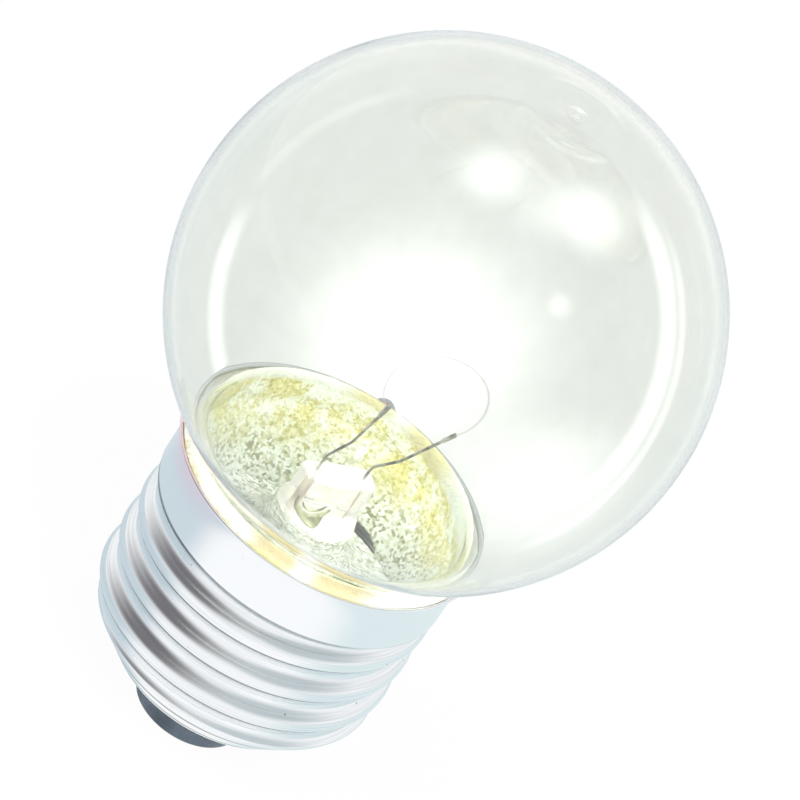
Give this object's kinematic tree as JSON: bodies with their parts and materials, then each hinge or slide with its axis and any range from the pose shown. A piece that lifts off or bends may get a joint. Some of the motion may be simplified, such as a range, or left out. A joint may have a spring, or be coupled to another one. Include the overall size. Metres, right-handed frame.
{
  "type": "appliance bulb",
  "caption": "Clear round incandescent appliance bulb with a glass stem, leads and filament inside and an aluminium E27 screw cap.",
  "frame": {"origin": "lowest point of the centre contact, on the bulb's axis", "axes": "+Z along the bulb's axis towards the crown; the side that is seen in the picture faces -Y"},
  "size_m": [0.0458, 0.0458, 0.0709],
  "materials": {
    "clear_glass": "clear blown glass, very faintly green",
    "stem_glass": "clear lead glass, pressed",
    "nickel": "drawn nickel-plated wire",
    "tungsten": "drawn grey wire",
    "copper_clad": "copper-clad wire",
    "bare_aluminium": "bright rolled sheet",
    "cement": "grainy baked cement",
    "dark_glass": "opaque moulded glass, glossy",
    "brass": "stamped plate",
    "solder": "smooth solidified solder"
  },
  "bodies": {
    "root": {"glass_envelope": "clear_glass", "stem_press": "stem_glass", "exhaust_tube": "stem_glass", "inner_lead_left": "nickel", "inner_lead_right": "nickel", "filament": "tungsten", "seal_wire_left": "copper_clad", "seal_wire_right": "copper_clad", "fuse_link": "nickel", "outer_lead_contact": "copper_clad", "outer_lead_shell": "copper_clad", "cap_shell": "bare_aluminium", "capping_cement": "cement", "insulator": "dark_glass", "contact_plate": "brass", "contact_solder": "solder", "side_solder": "solder"}
  },
  "joints": []
}
